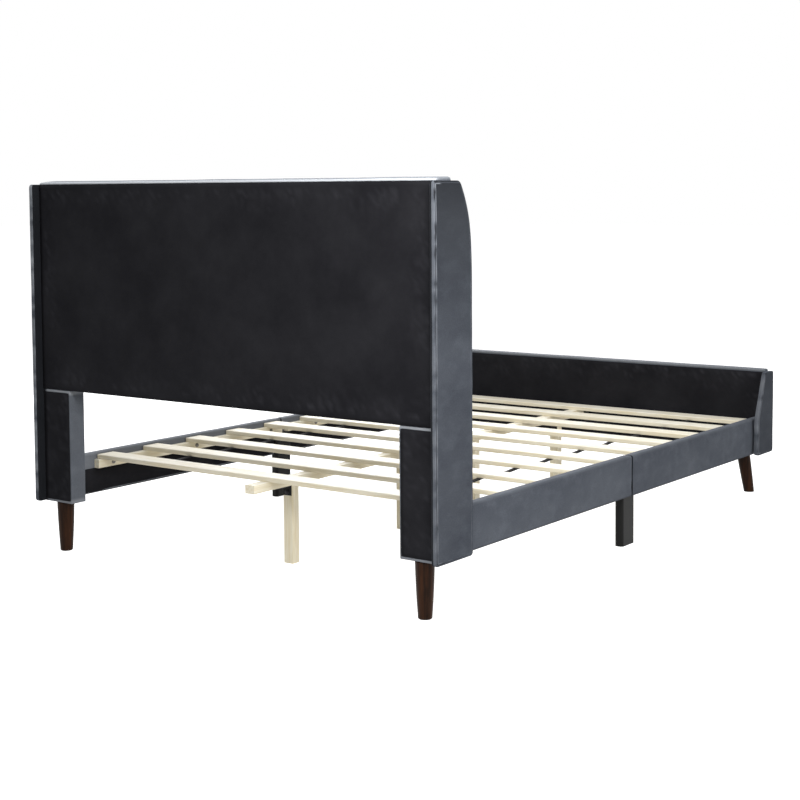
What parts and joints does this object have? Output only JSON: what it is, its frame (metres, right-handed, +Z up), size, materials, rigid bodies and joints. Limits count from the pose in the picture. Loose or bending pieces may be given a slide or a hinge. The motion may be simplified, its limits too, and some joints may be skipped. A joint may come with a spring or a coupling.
{
  "type": "upholstered platform bed",
  "caption": "Platform bed with a tall padded winged headboard, low winged footboard, padded side rails, open slatted deck on a centre beam, and turned splayed legs",
  "frame": {"origin": "on the floor, under the middle of the bed's bounding box", "axes": "+Y along the bed towards the headboard, +Z up, +X towards the side on the right hand of someone who stands at the footboard facing the headboard"},
  "size_m": [1.485, 2.066, 1.113],
  "materials": {
    "velvet": "short velvet pile, slightly mottled",
    "black_cloth": "thin nonwoven dust cover, matt",
    "webbing": "flat woven strap",
    "frame_pine": "sawn, unfinished, hidden by the upholstery",
    "pine": "planed, unfinished, pale",
    "walnut_stain": "turned, dark brown stain, satin lacquer",
    "painted_leg": "painted satin black",
    "black_steel": "black powder coat",
    "zinc_bolt": "zinc plated, dull"
  },
  "bodies": {
    "root": {"headboard_battens": "frame_pine", "headboard_plywood": "frame_pine", "headboard_padding": "velvet", "headboard_back_cover": "black_cloth", "left_head_wing_board": "frame_pine", "right_head_wing_board": "frame_pine", "left_head_wing_cover": "velvet", "right_head_wing_cover": "velvet", "left_head_post": "frame_pine", "right_head_post": "frame_pine", "left_post_cover": "velvet", "right_post_cover": "velvet", "post_back_covers": "black_cloth", "left_head_leg": "walnut_stain", "right_head_leg": "walnut_stain", "footboard_core": "frame_pine", "footboard_padding": "velvet", "footboard_inner_cover": "black_cloth", "foot_wing_boards": "frame_pine", "left_foot_wing_cover": "velvet", "right_foot_wing_cover": "velvet", "left_foot_leg": "walnut_stain", "right_foot_leg": "walnut_stain", "foot_leg_blocks": "frame_pine", "left_head_rail": "frame_pine", "left_foot_rail": "frame_pine", "right_head_rail": "frame_pine", "right_foot_rail": "frame_pine", "left_head_rail_cover": "velvet", "left_foot_rail_cover": "velvet", "right_head_rail_cover": "velvet", "right_foot_rail_cover": "velvet", "left_rail_liners": "black_cloth", "right_rail_liners": "black_cloth", "left_ledgers": "pine", "right_ledgers": "pine", "left_middle_leg": "painted_leg", "right_middle_leg": "painted_leg", "corner_brackets": "black_steel", "centre_beam_head": "pine", "centre_beam_foot": "pine", "beam_joint_plate": "black_steel", "beam_hanger": "black_steel", "centre_legs": "pine", "centre_leg_brackets": "black_steel", "slat_1": "pine", "slat_2": "pine", "slat_3": "pine", "slat_4": "pine", "slat_5": "pine", "slat_6": "pine", "slat_7": "pine", "slat_8": "pine", "slat_9": "pine", "slat_10": "pine", "slat_straps": "webbing", "leg_studs": "zinc_bolt", "wing_studs": "zinc_bolt", "frame_bolts": "zinc_bolt", "ledger_bolts": "zinc_bolt"}
  },
  "joints": []
}
